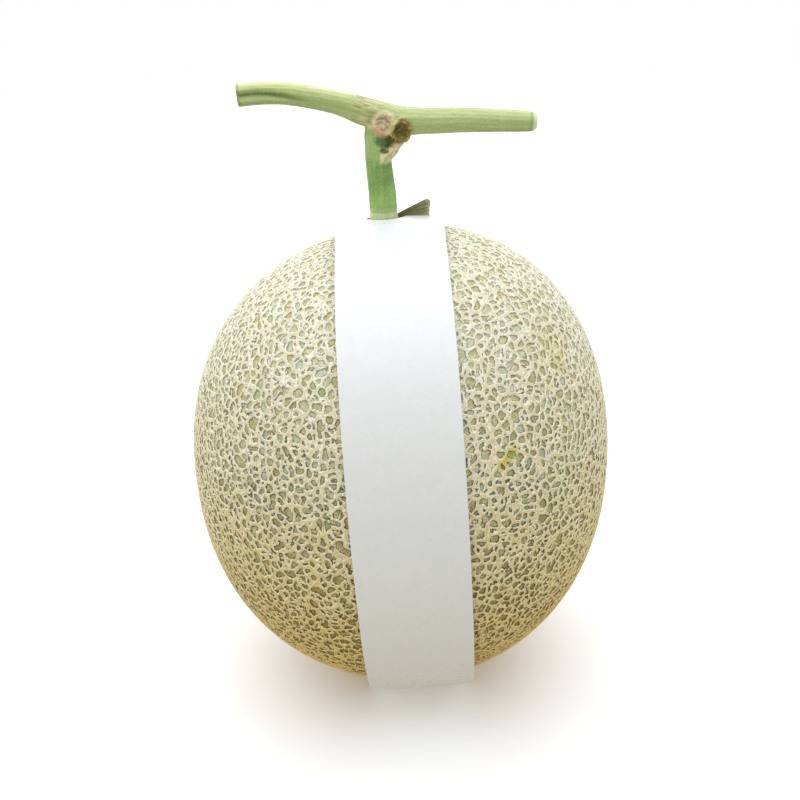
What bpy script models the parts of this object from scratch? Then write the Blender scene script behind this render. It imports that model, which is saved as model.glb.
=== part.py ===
"""Netted muskmelon on its blossom end, with its T-shaped stalk, a dried bract and a bare paper band.

Lengths are metres. +Z is up, -Y is the front with the paper band, and the origin is the middle of the small
flat spot that the fruit stands on.
"""

import math

import bmesh
import bpy
import numpy as np
from mathutils import Matrix, Vector

MM = 0.001

# The fruit: a slightly square ellipsoid of revolution, measured over the crests of its net
FRUIT_RADIUS = 73.0 * MM
FRUIT_UPPER_HEIGHT = 79.7 * MM
FRUIT_LOWER_HEIGHT = 80.7 * MM
FRUIT_SQUARENESS = 2.21
SHOULDER_TILT = 4.0 * MM
SPOT_RADIUS = 13.0 * MM

# The raised net: cells in jittered rings, wider than life so that the relief stays within its faces
NET_SPACING = 8.9 * MM
NET_DEPTH = 1.2 * MM
CORD_WIDTH = 1.9 * MM
KNOT_MERGE = 4.6 * MM
NET_JITTER = 0.34
NET_SEED = 11
NET_FADE = 6.0 * MM

# The stalk: a short pedicel under a length of the vine, cut to a T
PEDICEL_X = -3.4 * MM
PEDICEL_Y = 3.0 * MM
PEDICEL_RADIUS = 4.1 * MM
COLLAR_RADIUS = 9.0 * MM
COLLAR_HEIGHT = 2.4 * MM
VINE_HEIGHT = 115.0 * MM
STALK_SIDES = 16
STALK_RIDGES = 5
RIDGE_DEPTH = 0.05
RIDGE_TURN = 0.6

# Middle line of the cut vine, as millimetres right of the fruit's axis and above the vine's mean height, and
# its radius at each of those places
VINE_LINE = ((-48.0, 8.9), (-40.0, 9.4), (-30.5, 8.8), (-17.0, 5.9), (-7.5, 2.6), (3.0, -0.3), (12.0, -0.8),
             (23.0, -0.9), (35.0, -1.4), (44.5, -2.0), (47.2, -2.2))
VINE_RADII = (3.5, 3.5, 3.5, 3.7, 4.4, 4.5, 4.1, 3.9, 3.6, 3.2, 2.4)
VINE_STEPS = 41

# The pedicel above its collar: share of the way up to the vine, shift to the right in millimetres, and radius
# as a share of the pedicel's
PEDICEL_FORM = ((0.06, 0.4, 1.10), (0.30, 0.3, 1.03), (0.62, -0.4, 0.92), (0.85, -0.2, 1.05),
                (1.0, 0.2, 1.10))
COLLAR_FORM = ((0.0, 1.0), (0.45, 0.97), (1.0, 0.58))
COLLAR_SHIFT = 0.2
PEDICEL_STEPS = 25

# The ridge from the pedicel's front up to the torn shoot: right, up and back from the joint, and radius
GUSSET_LINE = ((-3.4, -12.6, -1.4), (-1.8, -9.4, -2.4), (1.2, -6.2, -2.6), (4.4, -3.6, -1.6),
               (6.0, -1.2, 0.0))
GUSSET_RADII = (1.5, 1.9, 2.2, 2.4, 2.4)
GUSSET_STEPS = 9

# Leaf scar and torn side shoot: short cones that stand out of the joint's front
SCAR_PLACE = (-2.0, -0.6, -3.6)
SCAR_TURN = math.radians(82.0)
SCAR_RADII = (3.4 * MM, 2.8 * MM)
SCAR_DEPTH = 3.4 * MM
SCAR_SIDES = 14
SHOOT_PLACE = (4.2, -3.2, -4.0)
SHOOT_TURN = math.radians(58.0)
SHOOT_SLANT = math.radians(-24.0)
SHOOT_RADII = (2.3 * MM, 3.1 * MM)
SHOOT_DEPTH = 4.6 * MM
SHOOT_SIDES = 10

# The dried bract: a fan of papery leaf beside the pedicel's foot, just above the paper
BRACT_LENGTH = 12.0 * MM
BRACT_WIDTH = 6.2 * MM
BRACT_ROOT_SHARE = 0.14
BRACT_ROOT_REACH = 1.1
BRACT_RISE = 6.0 * MM
BRACT_CLIMB = 0.10
BRACT_LOW_SHARE = 0.30
BRACT_SLANT = 0.07
BRACT_BACK = 1.5 * MM
BRACT_CUP = 1.3 * MM
BRACT_THICKNESS = 0.8 * MM
BRACT_COLUMNS = 7
BRACT_ROWS = 4

# The paper band: flat across, bent along the fruit's front meridian, with a hole for the pedicel
BAND_WIDTH = 35.2 * MM
BAND_THICKNESS = 0.6 * MM
BAND_LEAN = math.radians(2.2)
BAND_SHIFT = 1.9 * MM
BAND_LOW_ANGLE = math.radians(159.0)
BAND_BACK_ANGLE = math.radians(-21.0)
BAND_LIFT = 4.2 * MM
BAND_LIFT_FORWARD = 7.0 * MM
BAND_LIFT_FRONT_REACH = 14.0 * MM
BAND_LIFT_BACK_REACH = 20.0 * MM
BAND_TAIL_LIFT = 2.8 * MM
BAND_TAIL_START = math.radians(100.0)
BAND_HOLE_RADIUS = 6.6 * MM
BAND_HOLE_SHIFT = 1.2 * MM
BAND_HOLE_SIDES = 28
BAND_STEPS = 84

# The gap that keeps touching pieces apart
GAP = 0.3 * MM


def flat_spot_level():
    """Height of the cut under the fruit's middle where its outline is as wide as the flat spot."""
    n = FRUIT_SQUARENESS
    return FRUIT_LOWER_HEIGHT * (1.0 - (SPOT_RADIUS / FRUIT_RADIUS) ** n) ** (1.0 / n)


CENTRE = Vector((0.0, 0.0, flat_spot_level()))


def fruit_reach(direction):
    """Distance from the fruit's middle to its net crests along unit vectors (an array's last axis)."""
    n = FRUIT_SQUARENESS
    around = np.hypot(direction[..., 0], direction[..., 1]) / FRUIT_RADIUS
    half_height = np.where(direction[..., 2] > 0.0, FRUIT_UPPER_HEIGHT, FRUIT_LOWER_HEIGHT)
    up = np.abs(direction[..., 2]) / half_height
    reach = (around ** n + up ** n) ** (-1.0 / n)
    shoulder = np.clip(direction[..., 2], 0.0, 1.0) ** 3
    return reach + SHOULDER_TILT * direction[..., 0] * shoulder


def fruit_meridian(angle):
    """Point and outward normal on the front meridian by angle from the top, as (y, z) about the middle."""
    step = 1.0e-4

    def place(turn):
        direction = np.stack([np.zeros_like(turn), -np.sin(turn), np.cos(turn)], axis=-1)
        return direction[..., 1:] * fruit_reach(direction)[..., None]

    along = place(angle + step) - place(angle - step)
    along /= np.linalg.norm(along, axis=-1, keepdims=True)
    normal = np.stack([-along[..., 1], along[..., 0]], axis=-1)
    return place(angle), -normal


def new_material(name, colour, roughness):
    """Plain Principled material with the part's main colour."""
    material = bpy.data.materials.new(name)
    material.use_nodes = True
    shader = material.node_tree.nodes["Principled BSDF"]
    shader.inputs["Base Color"].default_value = (*colour, 1.0)
    shader.inputs["Roughness"].default_value = roughness
    shader.inputs["Metallic"].default_value = 0.0
    material.diffuse_color = (*colour, 1.0)
    return material


def new_object(name, bm, material):
    """Object named for its piece, from a finished bmesh whose faces are turned outwards."""
    bmesh.ops.recalc_face_normals(bm, faces=bm.faces)
    mesh = bpy.data.meshes.new(name)
    bm.to_mesh(mesh)
    bm.free()
    mesh.materials.append(material)
    mesh.shade_smooth()
    mesh.set_sharp_from_angle(angle=math.radians(35.0))
    piece = bpy.data.objects.new(name, mesh)
    bpy.context.scene.collection.objects.link(piece)
    return piece


def net_seeds():
    """Unit vectors of the net's cells: rings down the fruit, each split evenly, then jittered both ways."""
    random = np.random.default_rng(NET_SEED)
    mean_radius = (FRUIT_RADIUS + FRUIT_UPPER_HEIGHT) / 2.0
    spacing = NET_SPACING / mean_radius
    rings = round(math.pi / spacing)
    seeds = []
    for ring in range(rings):
        polar = math.pi * (ring + 0.5) / rings
        count = max(3, round(2.0 * math.pi * math.sin(polar) / spacing))
        start = random.uniform(0.0, 2.0 * math.pi)
        for index in range(count):
            polar_jitter = random.uniform(-NET_JITTER, NET_JITTER) * math.pi / rings
            turn_jitter = random.uniform(-NET_JITTER, NET_JITTER)
            turn = start + 2.0 * math.pi * (index + turn_jitter) / count
            down = polar + polar_jitter
            seeds.append((math.sin(down) * math.cos(turn), math.sin(down) * math.sin(turn), math.cos(down)))
    return seeds


def place_on_fruit(verts, depth):
    """Move vertices along their lines from the middle to a depth under the crests; none at the flat spot."""
    for vert in verts:
        direction = np.array(vert.co.normalized())
        reach = float(fruit_reach(direction))
        from_axis = math.hypot(direction[0], direction[1]) * reach
        fade = 1.0
        if direction[2] < 0.0:
            fade = min(1.0, max(0.0, (from_axis - SPOT_RADIUS) / NET_FADE))
        vert.co = Vector(direction) * (reach - depth * fade)


def make_melon(material):
    """One solid: the seeds' hull gives the cells' neighbours, its poked faces the knots of the net.

    Turning each hull edge across its two poked faces joins the knots by cords, and dissolving the seeds
    leaves one face for each cell. Knots that nearly meet are merged, and each cell is inset and sunk.
    """
    bm = bmesh.new()
    for seed in net_seeds():
        bm.verts.new(seed)
    bmesh.ops.convex_hull(bm, input=bm.verts)
    seeds = list(bm.verts)
    links = list(bm.edges)
    bmesh.ops.poke(bm, faces=bm.faces)
    bmesh.ops.rotate_edges(bm, edges=links, use_ccw=False)
    bmesh.ops.dissolve_verts(bm, verts=seeds)
    place_on_fruit(bm.verts, 0.0)
    bmesh.ops.remove_doubles(bm, verts=bm.verts, dist=KNOT_MERGE)
    place_on_fruit(bm.verts, 0.0)
    knots = set(bm.verts)
    bmesh.ops.inset_individual(bm, faces=bm.faces, thickness=CORD_WIDTH / 2.0, use_even_offset=True)
    place_on_fruit([vert for vert in bm.verts if vert not in knots], NET_DEPTH)
    bmesh.ops.translate(bm, verts=bm.verts, vec=CENTRE)
    geometry = list(bm.verts) + list(bm.edges) + list(bm.faces)
    bmesh.ops.bisect_plane(bm, geom=geometry, dist=0.02 * MM, plane_co=(0, 0, 0), plane_no=(0, 0, 1),
                           clear_inner=True)
    rim = [edge for edge in bm.edges if edge.is_boundary]
    bmesh.ops.contextual_create(bm, geom=rim)
    return new_object("melon", bm, material)


def smooth_path(points, count):
    """Evenly numbered points on the smooth curve that passes through hand-placed ones (Catmull-Rom)."""
    knots = [Vector(point) for point in points]
    knots = [knots[0] * 2 - knots[1]] + knots + [knots[-1] * 2 - knots[-2]]
    path = []
    for index in range(count):
        position = index * (len(points) - 1) / (count - 1)
        span = min(int(position), len(points) - 2)
        t = position - span
        a, b, c, d = knots[span:span + 4]
        path.append(0.5 * (2 * b + (c - a) * t + (2 * a - 5 * b + 4 * c - d) * t * t
                           + (3 * b - a - 3 * c + d) * t * t * t))
    return path


def stem(points, radii, count, ridge_turn=0.0):
    """Closed ribbed tube along a smooth path, with one radius for each of its points, as a bmesh."""
    path = smooth_path(points, count)
    widths = smooth_path([(radius, 0.0, 0.0) for radius in radii], count)
    side = Vector((0.0, 1.0, 0.0))
    bm = bmesh.new()
    rings = []
    for index in range(count):
        ahead = path[min(index + 1, count - 1)]
        behind = path[max(index - 1, 0)]
        along = (ahead - behind).normalized()
        across = along.cross(side).normalized()
        ring = []
        for step in range(STALK_SIDES):
            angle = 2.0 * math.pi * step / STALK_SIDES
            radius = widths[index].x * (1.0 + RIDGE_DEPTH * math.cos(STALK_RIDGES * angle + ridge_turn))
            offset = (across * math.cos(angle) + side * math.sin(angle)) * radius
            ring.append(bm.verts.new(path[index] + offset))
        rings.append(ring)
    for low, high in zip(rings, rings[1:]):
        for step in range(STALK_SIDES):
            after = (step + 1) % STALK_SIDES
            bm.faces.new((low[step], low[after], high[after], high[step]))
    bm.faces.new(list(reversed(rings[0])))
    bm.faces.new(rings[-1])
    return bm


def helper_object(name, bm):
    """Object for one body of a union or a cut."""
    bmesh.ops.recalc_face_normals(bm, faces=bm.faces)
    mesh = bpy.data.meshes.new(name)
    bm.to_mesh(mesh)
    bm.free()
    helper = bpy.data.objects.new(name, mesh)
    helper.hide_render = True
    helper.display_type = "WIRE"
    return helper


def apply_boolean(piece, operation, helpers):
    """Apply one exact Boolean of a collection of helpers to the piece, then remove the helpers."""
    group = bpy.data.collections.new(piece.name + "_helpers")
    bpy.context.scene.collection.children.link(group)
    for helper in helpers:
        group.objects.link(helper)
    boolean = piece.modifiers.new("Boolean", "BOOLEAN")
    boolean.operation = operation
    boolean.operand_type = "COLLECTION"
    boolean.collection = group
    boolean.solver = "EXACT"
    bpy.context.view_layer.update()
    evaluated = piece.evaluated_get(bpy.context.evaluated_depsgraph_get())
    mesh = bpy.data.meshes.new_from_object(evaluated)
    piece.modifiers.clear()
    old_mesh = piece.data
    piece.data = mesh
    bpy.data.meshes.remove(old_mesh)
    mesh.name = piece.name
    for helper in list(group.objects):
        bpy.data.objects.remove(helper)
    bpy.data.collections.remove(group)


def stalk_point(x, z, y=0.0):
    """Point of the stalk, in millimetres right of the fruit's axis, above the vine, behind the pedicel."""
    return (x * MM, PEDICEL_Y + y * MM, CENTRE.z + VINE_HEIGHT + z * MM)


def pedicel_stem():
    """The pedicel: a collar at its foot, then a stem that narrows and widens on its way to the vine."""
    top = np.array([PEDICEL_X, PEDICEL_Y, FRUIT_UPPER_HEIGHT])
    foot = CENTRE.z + float(fruit_reach(top / np.linalg.norm(top))) + GAP
    collar_top = foot + COLLAR_HEIGHT
    rise = CENTRE.z + VINE_HEIGHT - collar_top
    points = []
    radii = []
    for share, width in COLLAR_FORM:
        points.append((PEDICEL_X + COLLAR_SHIFT * MM, PEDICEL_Y, foot + share * COLLAR_HEIGHT))
        radii.append(COLLAR_RADIUS * width)
    for share, shift, width in PEDICEL_FORM:
        points.append((PEDICEL_X + shift * MM, PEDICEL_Y, collar_top + share * rise))
        radii.append(PEDICEL_RADIUS * width)
    return stem(points, radii, PEDICEL_STEPS, RIDGE_TURN)


def short_cone(place, turn, radii, depth, sides):
    """Capped cone at a place on the stalk, turned to face the front."""
    bm = bmesh.new()
    bmesh.ops.create_cone(bm, cap_ends=True, segments=sides, radius1=radii[0], radius2=radii[1], depth=depth,
                          matrix=Matrix.Translation(stalk_point(*place)) @ turn)
    return bm


def make_stalk(material):
    """One solid: the cut vine, the pedicel with its collar and ridge, the leaf scar and the torn shoot."""
    vine = [stalk_point(x, z) for x, z in VINE_LINE]
    stalk = new_object("stalk", stem(vine, [radius * MM for radius in VINE_RADII], VINE_STEPS), material)
    gusset = [stalk_point(x, z, y) for x, z, y in GUSSET_LINE]
    scar_turn = Matrix.Rotation(SCAR_TURN, 4, "X")
    shoot_turn = Matrix.Rotation(SHOOT_TURN, 4, "X") @ Matrix.Rotation(SHOOT_SLANT, 4, "Y")
    bodies = {
        "pedicel_body": pedicel_stem(),
        "gusset_body": stem(gusset, [radius * MM for radius in GUSSET_RADII], GUSSET_STEPS),
        "leaf_scar_body": short_cone(SCAR_PLACE, scar_turn, SCAR_RADII, SCAR_DEPTH, SCAR_SIDES),
        "side_shoot_body": short_cone(SHOOT_PLACE, shoot_turn, SHOOT_RADII, SHOOT_DEPTH, SHOOT_SIDES),
    }
    apply_boolean(stalk, "UNION", [helper_object(name, bm) for name, bm in bodies.items()])
    return stalk


def make_bract(material):
    """Fan-shaped blade that stands beside the pedicel's foot, thin at its root and wide at its torn end."""
    foot = CENTRE.z + FRUIT_UPPER_HEIGHT + BRACT_RISE
    root = PEDICEL_X + PEDICEL_RADIUS * BRACT_ROOT_REACH + GAP
    front = []
    back = []
    bm = bmesh.new()
    for column in range(BRACT_COLUMNS):
        along = column / (BRACT_COLUMNS - 1)
        width = BRACT_WIDTH * (BRACT_ROOT_SHARE + (1.0 - BRACT_ROOT_SHARE) * along ** 0.9)
        for row in range(BRACT_ROWS):
            across = row / (BRACT_ROWS - 1)
            x = root + BRACT_LENGTH * along * (1.0 - BRACT_SLANT * across)
            z = foot + BRACT_CLIMB * BRACT_LENGTH * along + width * (across - BRACT_LOW_SHARE)
            y = PEDICEL_Y + BRACT_BACK * along - BRACT_CUP * along * (2.0 * across - 1.0) ** 2
            front.append(bm.verts.new((x, y - BRACT_THICKNESS / 2.0, z)))
            back.append(bm.verts.new((x, y + BRACT_THICKNESS / 2.0, z)))
    for side, flip in ((front, False), (back, True)):
        for column in range(BRACT_COLUMNS - 1):
            for row in range(BRACT_ROWS - 1):
                a = column * BRACT_ROWS + row
                corners = [side[a], side[a + BRACT_ROWS], side[a + BRACT_ROWS + 1], side[a + 1]]
                halves = (corners[:3], [corners[0], corners[2], corners[3]])
                for half in halves:
                    bm.faces.new(list(reversed(half)) if flip else half)
    bmesh.ops.bridge_loops(bm, edges=[edge for edge in bm.edges if edge.is_boundary])
    return new_object("dried_bract", bm, material)


def band_path(angle):
    """Inner face of the paper by angle from the top: just off the net's crests, lifted over the collar.

    Lift = full lift * exp(-(way / reach)^2), where way is the distance from a line just in front of the
    collar, and the reach is longer towards the back. The tail hangs a little away from the fruit, by
    tail lift * (3t^2 - 2t^3), where t goes from 0 at the tail's start to 1 at its end.
    """
    place, normal = fruit_meridian(angle)
    mean_radius = (FRUIT_RADIUS + FRUIT_UPPER_HEIGHT) / 2.0
    way = angle * mean_radius + PEDICEL_Y - BAND_LIFT_FORWARD
    reach = np.where(way > 0.0, BAND_LIFT_FRONT_REACH, BAND_LIFT_BACK_REACH)
    t = np.clip((angle - BAND_TAIL_START) / (BAND_LOW_ANGLE - BAND_TAIL_START), 0.0, 1.0)
    lift = BAND_LIFT * np.exp(-(way / reach) ** 2) + BAND_TAIL_LIFT * t * t * (3.0 - 2.0 * t)
    inner = place + normal * (GAP + lift)[:, None]
    return inner, normal


def make_band(material):
    """Strip bent along the front meridian, straight across, with a round hole for the pedicel."""
    angle = np.linspace(BAND_BACK_ANGLE, BAND_LOW_ANGLE, BAND_STEPS + 1)
    inner, normal = band_path(angle)
    outer = inner + normal * BAND_THICKNESS
    bm = bmesh.new()
    sections = []
    half = BAND_WIDTH / 2.0
    for (inner_y, inner_z), (outer_y, outer_z) in zip(inner, outer):
        corners = ((-half, inner_y, inner_z), (half, inner_y, inner_z),
                   (half, outer_y, outer_z), (-half, outer_y, outer_z))
        sections.append([bm.verts.new(corner) for corner in corners])
    for low, high in zip(sections, sections[1:]):
        for side in range(4):
            after = (side + 1) % 4
            bm.faces.new((low[side], high[side], high[after], low[after]))
    bm.faces.new(sections[0])
    bm.faces.new(list(reversed(sections[-1])))
    lean = Matrix.Rotation(-BAND_LEAN, 4, "Y")
    place = Matrix.Translation(CENTRE + Vector((BAND_SHIFT, 0.0, 0.0))) @ lean
    bmesh.ops.transform(bm, matrix=place, verts=bm.verts)
    band = new_object("paper_band", bm, material)

    hole_bm = bmesh.new()
    hole_centre = Vector((PEDICEL_X + BAND_HOLE_SHIFT, PEDICEL_Y, CENTRE.z + FRUIT_UPPER_HEIGHT))
    bmesh.ops.create_cone(hole_bm, cap_ends=True, segments=BAND_HOLE_SIDES, radius1=BAND_HOLE_RADIUS,
                          radius2=BAND_HOLE_RADIUS, depth=PEDICEL_RADIUS * 5,
                          matrix=Matrix.Translation(hole_centre))
    apply_boolean(band, "DIFFERENCE", [helper_object("pedicel_hole", hole_bm)])
    return band


def build():
    """Remove what the file holds and make the four pieces."""
    for old in list(bpy.data.objects):
        bpy.data.objects.remove(old)
    make_melon(new_material("netted_rind", (0.62, 0.58, 0.40), 0.75))
    make_stalk(new_material("green_stalk", (0.42, 0.55, 0.25), 0.55))
    make_bract(new_material("dried_leaf", (0.30, 0.26, 0.13), 0.80))
    make_band(new_material("white_paper", (0.86, 0.88, 0.88), 0.35))


build()
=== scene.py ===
"""Looks of a netted muskmelon around its plain solids: rind, bare paper band, cut stalk and dried bract.

Lengths are metres. +Z is up, -Y is the front with the paper band, and the origin is the middle of the flat
spot under the fruit. Sizes that the plain solids share are the same named values as in their source.
"""

import math
from types import SimpleNamespace

import bpy
import numpy as np
from mathutils import Matrix


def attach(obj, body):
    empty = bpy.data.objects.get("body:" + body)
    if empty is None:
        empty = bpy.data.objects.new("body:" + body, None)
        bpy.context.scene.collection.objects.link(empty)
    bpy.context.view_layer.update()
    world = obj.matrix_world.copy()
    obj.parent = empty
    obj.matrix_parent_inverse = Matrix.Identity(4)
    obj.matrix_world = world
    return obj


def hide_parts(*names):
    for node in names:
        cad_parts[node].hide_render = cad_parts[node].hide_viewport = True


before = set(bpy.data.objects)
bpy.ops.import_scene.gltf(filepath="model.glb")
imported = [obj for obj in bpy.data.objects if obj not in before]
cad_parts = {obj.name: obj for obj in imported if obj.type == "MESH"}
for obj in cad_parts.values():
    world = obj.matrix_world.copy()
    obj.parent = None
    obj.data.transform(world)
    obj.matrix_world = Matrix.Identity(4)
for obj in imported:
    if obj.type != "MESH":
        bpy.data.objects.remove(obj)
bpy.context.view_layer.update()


# Camera, floor and light.
# A whole fruit in a bright white room: one wide soft light overhead, pale walls all round, and less light,
# with a warmer colour, from below.

MM = 0.001
CAMERA_PLACE = (0.0, -336.43 * MM, 238.16 * MM)
CAMERA_DOWN = math.radians(22.493)
CAMERA_YAW = math.radians(-0.043)
CAMERA_ROLL = math.radians(-1.934)
CAMERA_LENS = 46.378
CAMERA_NEAREST = 0.01

LIGHT_HEIGHT = 1.05
LIGHT_FRONT = -0.62
LIGHT_BACK = 3.40
LIGHT_WIDTH = 3.2
LIGHT_SHIFT = -0.35
LIGHT_POWER = 29.0
ROOM_COLOUR = (1.0, 1.015, 1.03)
LOW_COLOUR = (0.53, 0.475, 0.31)
LOW_BLEND = 0.1
ROOM_FRONT_TO_BACK = (0.95, 1.22)
ROOM_LEFT_TO_RIGHT = (1.05, 0.95)
BACKDROP_COLOUR = (1.0, 1.0, 1.0)
FLOOR_SIZE = 4.4
FLOOR_COLOUR = (0.87, 0.87, 0.87)
FLOOR_GLOW = 0.08


def feed(tree, node, inputs):
    """Set a node's inputs, each to a value or to another node's socket."""
    for socket, source in inputs.items():
        if isinstance(source, bpy.types.NodeSocket):
            tree.links.new(source, node.inputs[socket])
        else:
            node.inputs[socket].default_value = source


def add_node(tree, kind, inputs=None, **settings):
    """Node of a kind in a tree: settings are its properties, inputs are values or other nodes' sockets."""
    made = tree.nodes.new(kind)
    for name, value in settings.items():
        setattr(made, name, value)
    feed(tree, made, inputs or {})
    return made


def calculate(tree, operation, first, second, clamp=False):
    """One sum of two values or sockets."""
    made = add_node(tree, "ShaderNodeMath", {0: first, 1: second}, operation=operation, use_clamp=clamp)
    return made.outputs[0]


def ranged(tree, value, start, end, low=0.0, high=1.0, way="LINEAR"):
    """Low where a value is at its start, high where it is at its end, and even between them."""
    limits = {"Value": value, "From Min": start, "From Max": end, "To Min": low, "To Max": high}
    return add_node(tree, "ShaderNodeMapRange", limits, interpolation_type=way).outputs["Result"]


def mix_colours(tree, share, first, second, way="MIX"):
    """Second colour over the first by a share, each a linear colour or a socket."""
    sources = {0: share}
    for index, colour in ((6, first), (7, second)):
        sources[index] = colour if isinstance(colour, bpy.types.NodeSocket) else (*colour, 1.0)
    return add_node(tree, "ShaderNodeMix", sources, data_type="RGBA", blend_type=way).outputs[2]


def new_finish(name, colour, roughness):
    """Material with a Principled shader of one linear colour and roughness, as (material, tree, shader)."""
    material = bpy.data.materials.new(name)
    material.use_nodes = True
    tree = material.node_tree
    shader = tree.nodes["Principled BSDF"]
    feed(tree, shader, {"Base Color": (*colour, 1.0), "Roughness": roughness})
    return material, tree, shader


def new_mesh(name, places, quads, triangles=None):
    """Mesh from an array of places and arrays of corner numbers, four or three to a face."""
    corners = [quads.ravel()]
    sizes = [np.full(len(quads), 4)]
    if triangles is not None:
        corners.append(triangles.ravel())
        sizes.append(np.full(len(triangles), 3))
    corners = np.concatenate(corners).astype(np.int32)
    sizes = np.concatenate(sizes)
    mesh = bpy.data.meshes.new(name)
    mesh.vertices.add(len(places))
    mesh.vertices.foreach_set("co", np.asarray(places, np.float32).ravel())
    mesh.loops.add(len(corners))
    mesh.loops.foreach_set("vertex_index", corners)
    mesh.polygons.add(len(sizes))
    mesh.polygons.foreach_set("loop_start", (np.cumsum(sizes) - sizes).astype(np.int32))
    mesh.update(calc_edges=True)
    mesh.shade_smooth()
    return mesh


def new_piece(name, mesh, materials):
    """Object at the origin that shows a mesh with its materials."""
    for material in materials:
        mesh.materials.append(material)
    piece = bpy.data.objects.new(name, mesh)
    bpy.context.scene.collection.objects.link(piece)
    return piece


def light_scene():
    """Camera at the photograph's place, the overhead light, the room and the floor."""
    scene = bpy.context.scene
    camera_data = bpy.data.cameras.new("camera")
    camera_data.lens = CAMERA_LENS
    camera_data.clip_start = CAMERA_NEAREST
    camera = bpy.data.objects.new("camera", camera_data)
    turn = Matrix.Rotation(CAMERA_YAW, 4, "Z") @ Matrix.Rotation(math.pi / 2 - CAMERA_DOWN, 4, "X")
    turn = turn @ Matrix.Rotation(CAMERA_ROLL, 4, "Z")
    camera.matrix_world = Matrix.Translation(CAMERA_PLACE) @ turn
    scene.collection.objects.link(camera)
    scene.camera = camera

    light_data = bpy.data.lights.new("overhead", "AREA")
    light_data.shape = "RECTANGLE"
    light_data.size = LIGHT_WIDTH
    light_data.size_y = LIGHT_BACK - LIGHT_FRONT
    light_data.energy = LIGHT_POWER
    light = bpy.data.objects.new("overhead", light_data)
    light.location = (LIGHT_SHIFT, (LIGHT_FRONT + LIGHT_BACK) / 2, LIGHT_HEIGHT)
    scene.collection.objects.link(light)

    world = bpy.data.worlds.new("room")
    world.use_nodes = True
    tree = world.node_tree
    place = add_node(tree, "ShaderNodeTexCoord").outputs["Generated"]
    way = add_node(tree, "ShaderNodeSeparateXYZ", {"Vector": place}).outputs
    walls = mix_colours(tree, ranged(tree, way["Z"], LOW_BLEND, -LOW_BLEND), ROOM_COLOUR, LOW_COLOUR)
    strength = calculate(tree, "MULTIPLY", ranged(tree, way["Y"], -1.0, 1.0, *ROOM_FRONT_TO_BACK),
                         ranged(tree, way["X"], -1.0, 1.0, *ROOM_LEFT_TO_RIGHT))
    seen = add_node(tree, "ShaderNodeLightPath").outputs["Is Camera Ray"]
    strength = add_node(tree, "ShaderNodeMix", {0: seen, 2: strength, 3: 1.0}).outputs[0]
    feed(tree, tree.nodes["Background"],
         {"Color": mix_colours(tree, seen, walls, BACKDROP_COLOUR), "Strength": strength})
    scene.world = world
    scene.view_settings.view_transform = "Standard"

    half = FLOOR_SIZE / 2
    corners = np.array([[-half, -half, 0], [half, -half, 0], [half, half, 0], [-half, half, 0]])
    finish, tree, shader = new_finish("pale_floor", FLOOR_COLOUR, 0.6)
    feed(tree, shader, {"Emission Color": (1.0, 1.0, 1.0, 1.0), "Emission Strength": FLOOR_GLOW})
    floor = new_piece("floor", new_mesh("floor", corners, np.array([[0, 1, 2, 3]])), [finish])
    floor.visible_diffuse = False


light_scene()


# The fruit.
# One whole muskmelon: a thin waxy skin under a raised web of cork, which grew where the skin split.
# Six patches cover it, each closed towards the fruit's middle; the net is real relief in all of them.

FRUIT_RADIUS = 73.0 * MM
FRUIT_UPPER_HEIGHT = 79.7 * MM
FRUIT_LOWER_HEIGHT = 80.7 * MM
FRUIT_SQUARENESS = 2.21
SHOULDER_TILT = 4.0 * MM
SPOT_RADIUS = 13.0 * MM

CORD_RISE = 0.46 * MM
CORD_SHOULDER = 0.36 * MM
CORD_FOOT = 0.16 * MM
CORD_CROWN_REACH = 0.6 * MM
CORD_ROUNDING = 0.14 * MM
NET_CROWDING = 0.12
NET_LOW_CROWDING = 0.14
MAIN_NET = {"spacing": 2.40 * MM, "spread": 1.7 * MM ** 2, "seed": 5}
FINE_NET = {"spacing": 3.00 * MM, "spread": 1.3 * MM ** 2, "seed": 9}
MAIN_CORD = {"half": 0.43 * MM, "missing": 0.07, "salt": 1}
FINE_CORD = {"half": 0.25 * MM, "missing": 0.55, "salt": 3}
LOW_CORD_LOSS = 0.20
CELL_JITTER = 0.46
NEAR_STEPS = np.arange(-2, 3)
CORD_WAVES = ((2.0 * MM, 7.0 * MM, 3), (0.8 * MM, 1.6 * MM, 13))
BLOSSOM_SCAR_RADIUS = 5.0 * MM
SCRATCH_ENDS = ((29.5, -64.4, 23.2), (33.3, -61.5, 27.2))
GOLDEN_PATCH = (48.6, -36.9, 49.2)

PATCH_CELLS = 264
PATCH_HEIGHT_SHARE = 1.1
PATCH_MARGIN = 0.02
PATCHES = {
    "rind_front": ((0, -1, 0), (1, 0, 0), (0, 0, 1)),
    "rind_back": ((0, 1, 0), (-1, 0, 0), (0, 0, 1)),
    "rind_left": ((-1, 0, 0), (0, -1, 0), (0, 0, 1)),
    "rind_right": ((1, 0, 0), (0, 1, 0), (0, 0, 1)),
    "rind_top": ((0, 0, 1), (1, 0, 0), (0, 1, 0)),
    "rind_bottom": ((0, 0, -1), (1, 0, 0), (0, -1, 0)),
}

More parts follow.
